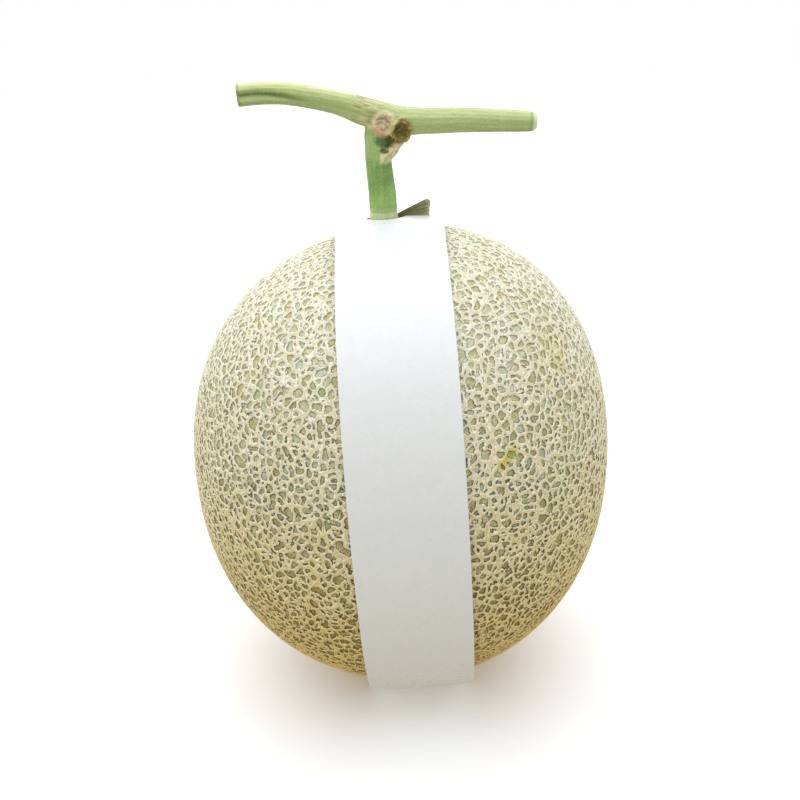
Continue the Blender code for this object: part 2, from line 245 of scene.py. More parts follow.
# Each tone is a place from 0 to 1, in a cell's own tone for the skin or in height for cork, and a colour.
SKIN_TONES = ((0.0, (184, 194, 174)), (0.3, (172, 178, 142)), (0.6, (168, 166, 122)),
              (0.85, (166, 152, 102)), (1.0, (146, 164, 112)))
# Cork is golden low down and cream high up; its two lowest stops are also lifted brighter as painted light
# reflected up from below.
CORK_AND_BOUNCE_TONES = ((0.05, (255, 204, 106)), (0.22, (238, 201, 121)), (0.42, (244, 223, 156)),
              (0.60, (254, 242, 194)), (0.88, (250, 243, 213)))
# The lip tones are a painted highlight along each cord's edge.
LIP_HIGHLIGHT_TONES = ((0.05, (255, 224, 146)), (0.22, (255, 234, 170)), (0.42, (255, 245, 204)),
             (0.60, (255, 252, 228)), (0.88, (255, 254, 238)))
HIGH_SKIN_TINT = (1.30, 1.28, 1.36)
LOW_SKIN_TINT = (0.74, 0.50, 0.14)
GOLDEN_TINT = (0.86, 0.84, 0.36)
SCURF_SIZE = 1.3 * MM


def flat_spot_level():
    """Height of the cut under the fruit's middle where its outline is as wide as the flat spot."""
    n = FRUIT_SQUARENESS
    return FRUIT_LOWER_HEIGHT * (1.0 - (SPOT_RADIUS / FRUIT_RADIUS) ** n) ** (1.0 / n)


MIDDLE = np.array([0.0, 0.0, flat_spot_level()])


def fruit_reach(direction):
    """Distance from the fruit's middle to its net crests along unit vectors: a slightly square ellipsoid.

    ((across / radius)^n + (up / height)^n)^(-1/n), plus a tilt of the shoulders that grows with height cubed.
    """
    n = FRUIT_SQUARENESS
    around = np.hypot(direction[..., 0], direction[..., 1]) / FRUIT_RADIUS
    half_height = np.where(direction[..., 2] > 0.0, FRUIT_UPPER_HEIGHT, FRUIT_LOWER_HEIGHT)
    up = np.abs(direction[..., 2]) / half_height
    shoulder = np.clip(direction[..., 2], 0.0, 1.0) ** 3
    return (around ** n + up ** n) ** (-1.0 / n) + SHOULDER_TILT * direction[..., 0] * shoulder


def unit(vectors):
    """The same vectors at length one."""
    return vectors / np.linalg.norm(vectors, axis=-1, keepdims=True)


def stacked(*parts):
    """Arrays or numbers side by side on a new last axis, such as x, y and z as places."""
    return np.stack(np.broadcast_arrays(*parts), axis=-1)


def smooth_step(value, low, high):
    """0 below low, 1 above high, and 3t^2 - 2t^3 between them."""
    t = np.clip((value - low) / (high - low), 0.0, 1.0)
    return t * t * (3.0 - 2.0 * t)


def lattice_noise(place, salt):
    """Smooth noise from 0 to 1: hashed values at whole-number corners, blended with 3t^2 - 2t^3 weights."""
    corner = np.floor(place).astype(np.int64)
    part = place - corner
    part = part * part * (3.0 - 2.0 * part)
    total = 0.0
    for step in np.ndindex(2, 2, 2):
        x, y, z = (corner[..., axis] + step[axis] for axis in range(3))
        number = (x * 73856093) ^ (y * 19349663) ^ (z * 83492791) ^ (salt * 2654435761)
        number = ((number ^ (number >> 13)) * 1274126177) & 0x7FFFFFFF
        value = ((number ^ (number >> 16)) & 0xFFFF) / 65535.0
        weight = 1.0
        for axis in range(3):
            weight = weight * (part[..., axis] if step[axis] else 1.0 - part[..., axis])
        total = total + weight * value
    return total


def pair_number(first, second, salt):
    """Random number from 0 to 1 for each pair of cell numbers, the same in either order."""
    low = np.minimum(first, second)
    high = np.maximum(first, second)
    number = (low * 374761393 + high * 668265263 + salt * 2246822519) & 0xFFFFFFFF
    number = ((number ^ (number >> 15)) * 2246822519) & 0xFFFFFFFF
    number = ((number ^ (number >> 13)) * 3266489917) & 0xFFFFFFFF
    return (number ^ (number >> 16)) / 4294967295.0


def crowding(even):
    """How far rings at even polar angles are moved: closer at both ends, and closest at the low one."""
    return NET_LOW_CROWDING * np.sin(even) - NET_CROWDING / 2 * np.sin(2 * even)


def grow_cells(spacing, spread, seed):
    """Cells of a net, in rings around the fruit's axis, each moved at random within its share.

    A ring at polar angle a holds 2 pi R sin(a) / spacing cells. Each cell also has a random size within the
    spread, in m^2.
    """
    random = np.random.default_rng(seed)
    rings = round(math.pi * (FRUIT_RADIUS + 3.0 * MM) / spacing)
    step = math.pi / rings
    even = (np.arange(rings) + 0.5) * step
    local = spacing * (1.0 + NET_LOW_CROWDING * np.cos(even) - NET_CROWDING * np.cos(2 * even))
    around = 2 * math.pi * FRUIT_RADIUS * np.sin(even + crowding(even))
    count = np.maximum(3, np.round(around / local)).astype(int)
    most = count.max()
    ring_jitter = random.uniform(-CELL_JITTER, CELL_JITTER, (rings, most))
    turn_jitter = random.uniform(-CELL_JITTER, CELL_JITTER, (rings, most))
    start = random.uniform(0.0, 1.0, rings)
    even = np.clip((np.arange(rings)[:, None] + 0.5 + ring_jitter) * step, 0.002, math.pi - 0.002)
    polar = even + crowding(even)
    turn = 2 * math.pi * (np.arange(most) + 0.5 + turn_jitter + start[:, None]) / count[:, None]
    direction = stacked(np.sin(polar) * np.cos(turn), np.sin(polar) * np.sin(turn), np.cos(polar))
    return {"step": step, "count": count, "start": start, "first": np.concatenate([[0], np.cumsum(count)]),
            "place": direction * fruit_reach(direction)[..., None],
            "size": random.uniform(-1.0, 1.0, (rings, most)) * spread}


def near_cells(net, direction):
    """Ring and place in the ring of the 25 cells around each direction; past a pole, the rings beyond it."""
    polar = np.arccos(np.clip(direction[:, 2], -1.0, 1.0))
    turn = np.arctan2(direction[:, 1], direction[:, 0])
    even = polar
    for _ in range(8):
        even = polar - crowding(even)
    rings = len(net["count"])
    ring = np.floor(even / net["step"]).astype(int)[:, None] + np.repeat(NEAR_STEPS, len(NEAR_STEPS))
    beyond = (ring < 0) | (ring >= rings)
    ring = np.where(ring < 0, -1 - ring, np.where(ring >= rings, 2 * rings - 1 - ring, ring))
    count = net["count"][ring]
    column = (turn[:, None] + math.pi * beyond) / (2 * math.pi) * count - net["start"][ring]
    column = (np.floor(column).astype(int) + np.tile(NEAR_STEPS, len(NEAR_STEPS))) % count
    return ring, column


def cord_distances(net, place, direction):
    """Distance from each place to the middle of the cords around its cell, with both cells' numbers.

    A cord lies where two cells are equally far, by distance squared plus size, so the distance to it is half
    the difference of those two sums over the cells' distance from each other.
    """
    ring, column = near_cells(net, direction)
    cell = net["place"][ring, column]
    number = net["first"][ring] + column
    far = ((place[:, None, :] - cell) ** 2).sum(axis=-1) + net["size"][ring, column]
    row = np.arange(len(place))
    own = far.argmin(axis=1)
    apart = np.linalg.norm(cell - cell[row, own][:, None, :], axis=-1)
    own_number = number[row, own][:, None]
    distance = (far - far[row, own][:, None]) / (2.0 * np.maximum(apart, 1e-6))
    return np.where(number == own_number, 99.0 * MM, distance), number, own_number


def soft_least(*distances):
    """Smallest of several distances with rounded corners: -r * log(sum(exp(-d / r)))."""
    total = sum(np.exp(-np.clip(distance, -3 * MM, 8 * MM) / CORD_ROUNDING) for distance in distances)
    return -CORD_ROUNDING * np.log(total)


def cords_of(net, cord, place, direction, width):
    """Distances from places to the nearest cord's edge, below 0 on the cord, and the cells' numbers."""
    distance, number, own_number = cord_distances(net, place, direction)
    width = cord["half"] * (0.72 + 0.56 * pair_number(number, own_number, cord["salt"])) * width[:, None]
    missing = pair_number(number, own_number, cord["salt"] + 1) < cord["missing"]
    edge = np.where(missing, distance + 3.0 * MM, distance - width)
    return soft_least(*edge.T), own_number[:, 0]


main_net = grow_cells(**MAIN_NET)
fine_net = grow_cells(**FINE_NET)


def rind_net(direction):
    """The net along unit vectors: distance to a cord's edge, the cell's tone, and the height from 0 to 1.

    The places are moved by smooth noise first, which makes the cords wave. The height is a smooth step from
    the skin to the cord's shoulder, and a gentle crown above it.
    """
    place = direction * fruit_reach(direction)[:, None]
    for amplitude, length, salt in CORD_WAVES:
        drift = [lattice_noise(place / length + 7.1 + 1.7 * axis, salt + axis) - 0.5 for axis in range(3)]
        place = place + amplitude * stacked(*drift)
    moved = unit(place)
    place = moved * fruit_reach(moved)[:, None]
    width = 0.88 + 0.24 * lattice_noise(place / (14.0 * MM), 21)
    width *= 1.0 - LOW_CORD_LOSS * smooth_step(-place[:, 2], 0.0, 50.0 * MM)
    main_edge, cell = cords_of(main_net, MAIN_CORD, place, moved, width)
    fine_edge = cords_of(fine_net, FINE_CORD, place, moved, width)[0]
    from_axis = np.hypot(place[:, 0], place[:, 1])
    scar = np.where(place[:, 2] < 0.0, from_axis - BLOSSOM_SCAR_RADIUS, 20.0 * MM)
    edge = soft_least(main_edge, fine_edge, scar)
    height = 0.80 * smooth_step(-edge, -CORD_FOOT, CORD_SHOULDER - CORD_FOOT)
    height += 0.20 * np.clip(-edge / CORD_CROWN_REACH, 0.0, 1.0)
    return edge, pair_number(cell, cell, 9), height


def grid_quads(rows, columns):
    """Corner numbers of the quads between grid vertices that are numbered row by row."""
    corner = (np.arange(rows - 1)[:, None] * columns + np.arange(columns - 1)).ravel()
    return stacked(corner, corner + 1, corner + columns + 1, corner + columns)


def grid_rim(rows, columns):
    """Numbers of the vertices round a grid's border, and of the ones that follow them."""
    number = np.arange(rows * columns).reshape(rows, columns)
    rim = np.concatenate([number[0, :-1], number[:-1, -1], number[-1, :0:-1], number[:0:-1, 0]])
    return rim, np.roll(rim, -1)


def store(mesh, name, values):
    """Keep a number, a vector or a colour for each vertex, under a name that the material reads."""
    width = 1 if values.ndim == 1 else values.shape[1]
    kind, field = {1: ("FLOAT", "value"), 3: ("FLOAT_VECTOR", "vector"), 4: ("FLOAT_COLOR", "color")}[width]
    data = mesh.attributes.new(name, kind, "POINT").data
    data.foreach_set(field, values.astype(np.float32).ravel())


def golden_share(place):
    """How golden the rind is at places from the fruit's middle: a short scratch, and a soft patch above."""
    start, end = (np.array(point) * MM for point in SCRATCH_ENDS)
    way = end - start
    part = np.clip(((place - start) @ way) / (way @ way), 0.0, 1.0)
    off_scratch = np.linalg.norm(place - start - part[:, None] * way, axis=1)
    off_patch = np.linalg.norm(place - np.array(GOLDEN_PATCH) * MM, axis=1)
    scratch = 1.0 - smooth_step(off_scratch, 0.8 * MM, 2.2 * MM)
    return np.maximum(scratch, 0.35 * (1.0 - smooth_step(off_patch, 3.0 * MM, 11.0 * MM)))


def make_patch(name, axes, materials):
    """One patch of the fruit: even angles across one face of a box around it, thrown out to the rind.

    Place = unit vector * (reach - rise * (1 - height)), cut level with the flat spot. Normals come from the
    differences to the neighbouring places, taken one row past the border, so that patches meet unseen.
    """
    outward, right, up = (np.array(axis, float) for axis in axes)
    wide = PATCH_CELLS + 3
    step = math.pi / 2 / PATCH_CELLS
    angle = np.tan(-math.pi / 4 + step * (np.arange(wide) - 1))
    box = outward + angle[None, :, None] * right + angle[:, None, None] * up
    direction = unit((box * (1.0, 1.0, PATCH_HEIGHT_SHARE)).reshape(-1, 3))
    edge, tone, height = rind_net(direction)
    reach = fruit_reach(direction) - CORD_RISE * (1.0 - height)
    place = direction * reach[:, None] + MIDDLE
    place[:, 2] = np.maximum(place[:, 2], 0.0)
    grid = place.reshape(wide, wide, 3)
    across = grid[1:-1, 2:] - grid[1:-1, :-2]
    along = grid[2:, 1:-1] - grid[:-2, 1:-1]
    normal = unit(np.cross(across, along)).reshape(-1, 3)

    side = PATCH_CELLS + 1
    inner = np.zeros((wide, wide), bool)
    inner[1:-1, 1:-1] = True
    inner = inner.ravel()
    quads = grid_quads(side, side)
    rim, after = grid_rim(side, side)
    walls = stacked(after, rim, side * side)
    mesh = new_mesh(name, np.vstack([place[inner], MIDDLE]), quads, walls)
    mesh.normals_split_custom_set_from_vertices(np.vstack([normal, -outward]))
    golden = golden_share(direction * reach[:, None])
    for attribute, values in (("cord_edge", edge / MM), ("cell_tone", tone), ("golden", golden)):
        store(mesh, attribute, np.append(values[inner], 0.0))

    share = np.linspace(PATCH_MARGIN, 1.0 - PATCH_MARGIN, side)
    flat = stacked(*np.meshgrid(share, share)).reshape(-1, 2)
    outer = 0.5 + (flat - 0.5) * (0.5 - PATCH_MARGIN / 4) / (0.5 - PATCH_MARGIN)
    wall_flat = np.stack([flat[after], flat[rim], (outer[after] + outer[rim]) / 2], axis=1)
    layout = np.concatenate([flat[quads].reshape(-1, 2), wall_flat.reshape(-1, 2)])
    mesh.uv_layers.new(name="OFBake").uv.foreach_set("vector", layout.ravel().astype(np.float32))
    piece = new_piece(name, mesh, materials)
    slots = np.repeat(np.array([0, 1], np.int32), (len(quads), len(walls)))
    mesh.polygons.foreach_set("material_index", slots)
    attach(piece, "root")
    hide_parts("melon")


def paint(red, green, blue):
    """Linear colour from the 0 to 255 values of a colour chart."""
    chart = (red / 255.0, green / 255.0, blue / 255.0)
    return tuple(c / 12.92 if c <= 0.04045 else ((c + 0.055) / 1.055) ** 2.4 for c in chart)


def mottle_group():
    """Node group that puts out soft random values between two limits, in spots of a size in metres."""
    tree = bpy.data.node_groups.new("mottle", "ShaderNodeTree")
    for name, value in (("Size", 0.001), ("Low", 0.0), ("High", 1.0)):
        socket = tree.interface.new_socket(name, in_out="INPUT", socket_type="NodeSocketFloat")
        socket.default_value = value
    tree.interface.new_socket("Value", in_out="OUTPUT", socket_type="NodeSocketFloat")
    given = add_node(tree, "NodeGroupInput").outputs
    noise = add_node(tree, "ShaderNodeTexNoise", {
        "Vector": add_node(tree, "ShaderNodeTexCoord").outputs["Object"],
        "Scale": calculate(tree, "DIVIDE", 1.0, given["Size"]), "Detail": 2.0, "Roughness": 0.55})
    spread = ranged(tree, noise.outputs["Fac"], 0.3, 0.7, given["Low"], given["High"])
    add_node(tree, "NodeGroupOutput", {"Value": spread})
    return tree


mottle_tree = mottle_group()


def mottle(tree, size, low=0.0, high=1.0):
    """Soft random values between low and high, in spots of that size."""
    made = add_node(tree, "ShaderNodeGroup", node_tree=mottle_tree)
    feed(tree, made, {"Size": size, "Low": low, "High": high})
    return made.outputs["Value"]


def stored(tree, name, output="Fac"):
    """Value that the mesh holds for each vertex under this name."""
    return add_node(tree, "ShaderNodeAttribute", attribute_name=name).outputs[output]


def step_between(tree, value, low, high):
    """0 at low and 1 at high, smoothly."""
    return ranged(tree, value, low, high, way="SMOOTHSTEP")


def layered(tree, colour, *layers):
    """A colour with others laid over it in turn, each a share and values from 0 to 255."""
    for share, values in layers:
        colour = mix_colours(tree, share, colour, paint(*values))
    return colour


def tinted(tree, colour, factors):
    """A colour with its red, green and blue each times a factor."""
    return mix_colours(tree, 1.0, colour, factors, "MULTIPLY")


def graded(tree, value, stops):
    """Colour graded along a value through (value, colour) stops."""
    made = add_node(tree, "ShaderNodeValToRGB", {"Fac": value})
    elements = made.color_ramp.elements
    while len(elements) < len(stops):
        elements.new(0.5)
    for element, (position, values) in zip(elements, stops):
        element.position = position
        element.color = (*paint(*values), 1.0)
    return made.outputs["Color"]


def bumped(tree, height, distance, strength):
    """Normals of a surface that a height from 0 to 1 raises by a distance."""
    made = add_node(tree, "ShaderNodeBump", {"Height": height, "Distance": distance, "Strength": strength})
    return made.outputs["Normal"]


def rind_finish():
    """Corky cords, cream at the top and golden below, with a painted highlight on their edges, over a waxy
    skin with painted shade beside each cord.
    """
    material, tree, shader = new_finish("netted_rind_skin", paint(205, 195, 150), 0.6)
    place = add_node(tree, "ShaderNodeTexCoord").outputs["Object"]
    above = add_node(tree, "ShaderNodeSeparateXYZ", {"Vector": place}).outputs["Z"]
    height = calculate(tree, "DIVIDE", above, FRUIT_UPPER_HEIGHT * 2)

    ragged = stored(tree, "cord_edge")
    for size, reach in ((0.50 * MM, 0.14), (1.1 * MM, 0.10)):
        ragged = calculate(tree, "ADD", ragged, mottle(tree, size, -reach, reach))
    cord = step_between(tree, ragged, 0.07, -0.07)
    rim = step_between(tree, ragged, 0.40, 0.06)
    # The lip is a band along each cord's edge, raised by the bump; its paler colour is a painted highlight.
    from_lip = calculate(tree, "ABSOLUTE", calculate(tree, "ADD", ragged, 0.14), 0.0)
    lip_highlight = step_between(tree, from_lip, 0.20, 0.08)
    core = calculate(tree, "MULTIPLY", step_between(tree, ragged, -0.24, -0.38), mottle(tree, 0.5 * MM))

    cracks = add_node(tree, "ShaderNodeTexVoronoi", {"Vector": place, "Scale": 1.0 / SCURF_SIZE},
                      feature="DISTANCE_TO_EDGE")
    crack = calculate(tree, "ADD", cracks.outputs["Distance"], mottle(tree, 0.4 * MM, -0.05, 0.05))
    scurf = calculate(tree, "MULTIPLY", step_between(tree, crack, 0.16, 0.05),
                      mottle(tree, 2.6 * MM, -0.5, 1.1), clamp=True)

    high = step_between(tree, height, 0.50, 0.92)
    # Painted shade in the skin beside each cord, half as strong near the top.
    rim_shade = calculate(tree, "MULTIPLY", rim,
                         calculate(tree, "SUBTRACT", 1.0, calculate(tree, "MULTIPLY", high, 0.5)))
    plain = layered(tree, graded(tree, stored(tree, "cell_tone"), SKIN_TONES),
                    (mottle(tree, 3.0 * MM, 0.0, 0.5), (186, 192, 150)),
                    (mottle(tree, 0.4 * MM, -0.2, 0.6), (118, 112, 60)),
                    (rim_shade, (54, 42, 8)))
    skin = mix_colours(tree, high, plain, tinted(tree, plain, HIGH_SKIN_TINT))
    low_share = step_between(tree, height, 0.68, 0.22)
    skin = mix_colours(tree, low_share, skin, tinted(tree, plain, LOW_SKIN_TINT))

    cork = layered(tree, graded(tree, height, CORK_AND_BOUNCE_TONES),
                   (mottle(tree, 16.0 * MM, -0.55, 0.30), (242, 212, 144)),
                   (mottle(tree, 2.2 * MM, -0.35, 0.26), (240, 214, 176)),
                   (calculate(tree, "MULTIPLY", core, 0.6), (200, 174, 112)),
                   (mottle(tree, 0.30 * MM, -0.35, 0.45), (188, 160, 100)))
    cork = mix_colours(tree, lip_highlight, cork, graded(tree, height, LIP_HIGHLIGHT_TONES))
    skin = mix_colours(tree, calculate(tree, "MULTIPLY", scurf, 0.65), skin, cork)
    rind = mix_colours(tree, cord, skin, cork)
    rind = mix_colours(tree, stored(tree, "golden"), rind, tinted(tree, rind, GOLDEN_TINT))

    relief = calculate(tree, "MULTIPLY", mottle(tree, 0.30 * MM), calculate(tree, "ADD", cord, 0.35))
    for operation, part, share in (("ADD", lip_highlight, 1.0), ("SUBTRACT", core, 0.7), ("ADD", scurf, 0.5)):
        relief = calculate(tree, operation, relief, calculate(tree, "MULTIPLY", part, share))
    feed(tree, shader, {"Base Color": rind, "Specular IOR Level": 0.12,
                        "Roughness": ranged(tree, cord, 0.0, 1.0, 0.45, 0.80),
                        "Normal": bumped(tree, relief, 0.12 * MM, 1.0)})
    return material


# The unseen faces where the patches meet inside the fruit are its pale green flesh.
rind_materials = [rind_finish(), new_finish("melon_flesh", paint(206, 214, 150), 0.5)[0]]
for patch_name, patch_axes in PATCHES.items():
    make_patch(patch_name, patch_axes, rind_materials)


# The paper band.
# A strip of bare white coated paper with a round hole, slipped over the pedicel and bent down the front.
# It is cut flat first, and then bent along the fruit's front meridian, and a little across.

PEDICEL_X = -3.4 * MM
PEDICEL_Y = 3.0 * MM
GAP = 0.3 * MM
BAND_WIDTH = 35.2 * MM
BAND_LEAN = math.radians(2.2)
BAND_SHIFT = 1.9 * MM
BAND_LOW_ANGLE = math.radians(159.0)
BAND_BACK_ANGLE = math.radians(-21.0)
BAND_LIFT = 4.2 * MM
BAND_LIFT_FORWARD = 7.0 * MM
BAND_LIFT_FRONT_REACH = 14.0 * MM
BAND_LIFT_BACK_REACH = 20.0 * MM
BAND_TAIL_LIFT = 2.8 * MM
BAND_TAIL_START = math.radians(100.0)
BAND_HOLE_RADIUS = 6.6 * MM
BAND_HOLE_ACROSS = -1.0 * MM
PAPER_THICKNESS = 0.18 * MM
PAPER_ARCH = 1.35 * MM
PAPER_WAVE = 0.25 * MM
PAPER_WAVE_LENGTH = 22 * MM
PAPER_COLUMNS = 32
PAPER_HOLE_RINGS = 8
PAPER_SAME = 0.001 * MM
MEAN_RADIUS = (FRUIT_RADIUS + FRUIT_UPPER_HEIGHT) / 2


def flat_paper():
    """The strip as cut, flat: places as (across, along) and their quads, with the hole's rings in the middle.

    Along runs from the back end to the low end, with 0 at the hole. Around the hole, places run in rings from
    the circle to a square as wide as the strip: circle + (square - circle) * share.
    """
    half = BAND_WIDTH / 2
    column = np.linspace(-half, half, PAPER_COLUMNS + 1)
    ends = [angle * MEAN_RADIUS + PEDICEL_Y for angle in (BAND_BACK_ANGLE, BAND_LOW_ANGLE)]
    sheets = []
    quads = []
    start = 0
    for low, high in ((ends[0], -half), (half, ends[1])):
        rows = max(2, round((high - low) / (BAND_WIDTH / PAPER_COLUMNS))) + 1
        sheets.append(stacked(*np.meshgrid(column, np.linspace(low, high, rows))).reshape(-1, 2))
        quads.append(grid_quads(rows, PAPER_COLUMNS + 1) + start)
        start += rows * (PAPER_COLUMNS + 1)
    side = column[:-1]
    corners = ((side, -half), (half, side), (-side, half), (-half, -side))
    square = np.vstack([stacked(*corner) for corner in corners])
    centre = np.array([BAND_HOLE_ACROSS, 0.0])
    circle = centre + unit(square - centre) * BAND_HOLE_RADIUS
    share = np.linspace(0.0, 1.0, PAPER_HOLE_RINGS + 1) ** 1.3
    sheets.append((circle[:, None] + (square - circle)[:, None] * share[:, None]).reshape(-1, 2))
    step = np.arange(PAPER_HOLE_RINGS)
    ring = np.arange(len(square))[:, None] * (PAPER_HOLE_RINGS + 1) + step
    after = np.roll(ring, -1, axis=0)
    quads.append(stacked(ring, ring + 1, after + 1, after).reshape(-1, 4) + start)
    return np.vstack(sheets), np.vstack(quads)


def bend_paper(flat, offset):
    """Places of the flat strip on the fruit, at an offset outwards from the paper's inner face.

    Inner face = front meridian + normal * (gap + lift * exp(-(way / reach)^2) - arch * (across / half)^2),
    then leaned sideways about the fruit's middle. Way is the distance from a line just in front of the
    stalk's swollen foot, and the reach is longer towards the back. The tail hangs a little away.
    """
    across, along = flat[:, 0], flat[:, 1]
    angle = (along - PEDICEL_Y) / MEAN_RADIUS

    def meridian(turn):
        direction = stacked(0.0, -np.sin(turn), np.cos(turn))
        return direction * fruit_reach(direction)[:, None]

    tangent = unit(meridian(angle + 1e-4) - meridian(angle - 1e-4))
    normal = stacked(0.0, tangent[:, 2], -tangent[:, 1])
    edge = (across / (BAND_WIDTH / 2)) ** 2
    way = along - BAND_LIFT_FORWARD
    reach = np.where(way > 0.0, BAND_LIFT_FRONT_REACH, BAND_LIFT_BACK_REACH)
    lift = BAND_LIFT * np.exp(-(way / reach) ** 2)
    lift += BAND_TAIL_LIFT * smooth_step(angle, BAND_TAIL_START, BAND_LOW_ANGLE)
    ripple = lattice_noise(stacked(np.sign(across) * 9.3, along / PAPER_WAVE_LENGTH, 0.0), 40)
    lift += (PAPER_WAVE * ripple - PAPER_ARCH) * edge
    place = meridian(angle) + normal * (GAP + lift + offset)[:, None]
    place[:, 0] = across
    lean = np.array(Matrix.Rotation(-BAND_LEAN, 3, "Y"))
    return place @ lean.T + MIDDLE + (BAND_SHIFT, 0.0, 0.0)


def thin_faces(quads, start, end, total):
    """Faces of a thin closed sheet: its quads, the same ones reversed behind them, and walls between.

    Start and end are the corners of the sheet's outer sides, in the order of the quads beside them.
    """
    return np.vstack([quads, quads[:, ::-1] + total, stacked(end, start, start + total, end + total)])


def paper_finish():
    """Bare white paper with a soft gloss, a faint fibre cloud and a very fine tooth."""
    material, tree, shader = new_finish("coated_paper", paint(224, 227, 229), 0.30)
    paper = layered(tree, paint(223, 226, 228), (mottle(tree, 2.5 * MM), (228, 230, 232)),
                    (mottle(tree, 0.35 * MM, 0.0, 0.3), (219, 222, 225)))
    feed(tree, shader, {"Base Color": paper,
                        "Roughness": mottle(tree, 0.8 * MM, 0.26, 0.34),
                        "Normal": bumped(tree, mottle(tree, 0.25 * MM), 0.004 * MM, 0.3)})
    return material


def make_paper():
    """Two faces of the bent strip, joined along its outline and its hole."""
    flat, quads = flat_paper()
    _, first, same = np.unique(np.round(flat / PAPER_SAME).astype(np.int64), axis=0, return_index=True,
                               return_inverse=True)
    flat = flat[first]
    quads = same.ravel()[quads]
    sides = np.concatenate([quads[:, [0, 1]], quads[:, [1, 2]], quads[:, [2, 3]], quads[:, [3, 0]]])
    known = set(map(tuple, sides.tolist()))
    rim = np.array(sorted(side for side in known if side[::-1] not in known))
    places = np.vstack([bend_paper(flat, PAPER_THICKNESS), bend_paper(flat, 0.0)])
    mesh = new_mesh("paper_strip", places, thin_faces(quads, rim[:, 0], rim[:, 1], len(flat)))
    mesh.set_sharp_from_angle(angle=math.radians(40.0))
    piece = new_piece("paper_strip", mesh, [paper_finish()])
    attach(piece, "root")
    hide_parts("paper_band")


make_paper()


# The stalk.
# The pedicel that the fruit hung from, with its swollen foot, under a cut length of the vine that it grew
# from. A round leaf scar, a torn side shoot and a pale ridge mark the joint. It all grew as one piece.

PEDICEL_RADIUS = 4.1 * MM
COLLAR_RADIUS = 9.0 * MM
COLLAR_HEIGHT = 2.4 * MM
CREASE_RISE = 3.6 * MM
VINE_HEIGHT = 115.0 * MM
VINE_LEVEL = MIDDLE[2] + VINE_HEIGHT
STALK_VOXEL = 0.30 * MM
STALK_SMOOTHING = 3
STALK_SIDES = 40
STALK_TURN = 2 * math.pi * np.arange(STALK_SIDES) / STALK_SIDES
STALK_RIDGES = 5
RIDGE_DEPTH = 0.03
GROOVE_DEPTH = 1.0 * MM
GROOVE_WIDTH = math.radians(15.0)


def on_stalk(*rows):
    """Rows of millimetres right of the fruit's axis, behind the pedicel and above the vine, as places.

    A fourth number in each row is a radius.
    """
    given = np.array(rows) * MM
    given[:, 1:3] += (PEDICEL_Y, VINE_LEVEL)
    return given


VINE = on_stalk(
    (-48.0, 0.0, 8.9, 3.5), (-40.0, 0.0, 9.4, 3.5), (-30.5, 0.0, 8.8, 3.5), (-17.0, 0.0, 5.9, 3.7),
    (-7.5, 0.0, 2.6, 4.4), (3.0, 0.0, -0.3, 4.5), (12.0, 0.0, -0.8, 4.1), (23.0, 0.0, -0.9, 3.9),
    (35.0, 0.0, -1.4, 3.6), (44.5, 0.0, -2.0, 3.2), (47.2, 0.0, -2.2, 2.4))
SWELLING = on_stalk((-3.2, 0.5, -14.0, 1.8), (-1.0, -0.4, -10.6, 2.1), (1.5, -0.8, -7.2, 2.3),
                    (4.6, -1.0, -3.6, 2.4), (6.0, 0.0, -1.2, 2.4))
PALE_RIDGE = on_stalk((-2.8, -3.0, -12.8, 1.2), (-1.7, -3.6, -11.6, 1.8), (0.4, -3.8, -9.6, 1.55),
                      (2.5, -3.4, -7.5, 1.2), (4.4, -3.0, -5.4, 1.0))
# Painted shade lies at the hollow, between the leaf scar and the pale ridge, and at the dark spot below that
# ridge.
SCAR, SHOOT, BUD, HOLLOW, JOINT, PALE_SPOT, SHADE_BELOW_RIDGE = on_stalk(
    (-1.9, -4.7, -0.6), (3.3, -4.4, -2.9), (-2.1, -4.3, -9.2), (-1.6, -3.6, -6.0), (-6.0, -1.0, 3.4),
    (-5.5, -3.0, -8.0), (-2.0, -4.0, -16.5))
SCAR_FACING = unit(np.array([-0.10, -0.97, 0.22]))
SHOOT_FACING = unit(np.array([0.30, -0.90, 0.10]))

# Each knob is rows of a distance along its facing and a radius there, in millimetres.
SCAR_RIM = ((-2.0, 3.7), (-0.4, 3.8), (0.2, 3.7), (0.5, 3.0), (0.0, 2.4))
TORN_SHOOT = ((-3.0, 2.2), (-1.2, 2.8), (0.2, 3.3), (1.1, 3.7), (1.0, 3.2), (-1.3, 2.1))


def smooth_stem(rows, count):
    """Places and radii at even steps on the smooth curve through rows of x, y, z and radius (Catmull-Rom)."""
    rows = np.array(rows)
    knots = np.vstack([2 * rows[:1] - rows[1:2], rows, 2 * rows[-1:] - rows[-2:-1]])
    position = np.linspace(0.0, len(rows) - 1, count)
    span = np.minimum(position.astype(int), len(rows) - 2)
    t = (position - span)[:, None]
    a, b, c, d = (knots[span + step] for step in range(4))
    curve = 2 * b + (c - a) * t + (2 * a - 5 * b + 4 * c - d) * t ** 2 + (3 * b - a - 3 * c + d) * t ** 3
    return 0.5 * curve[:, :3], 0.5 * curve[:, 3:]


def path_frame(path):
    """Unit vectors across a path, and across both, at each of its places."""
    along = unit(np.gradient(path, axis=0))
    across = unit(np.cross(along, np.array([0.0, 1.0, 0.0])))
    return across, np.cross(along, across) * -1.0


def closed_tube(centres, across, side, outline):
    """Places and faces of a closed tube: outline holds a radius for each row and each even angle round it."""
    rows, sides = outline.shape
    turn = STALK_TURN[:, None]
    round_it = across[:, None, :] * np.cos(turn) + side[:, None, :] * np.sin(turn)
    places = (centres[:, None, :] + round_it * outline[..., None]).reshape(-1, 3)
    row = np.arange(rows - 1)[:, None] * sides
    corner = (row + np.arange(sides)).ravel()
    after = (row + (np.arange(sides) + 1) % sides).ravel()
    first = np.arange(sides)
    last = first + (rows - 1) * sides
    caps = np.vstack([stacked(np.roll(first, -1), first, rows * sides),
                      stacked(last, np.roll(last, -1), rows * sides + 1)])
    quads = stacked(corner, after, after + sides, corner + sides)
    return np.vstack([places, centres[:1], centres[-1:]]), quads, caps


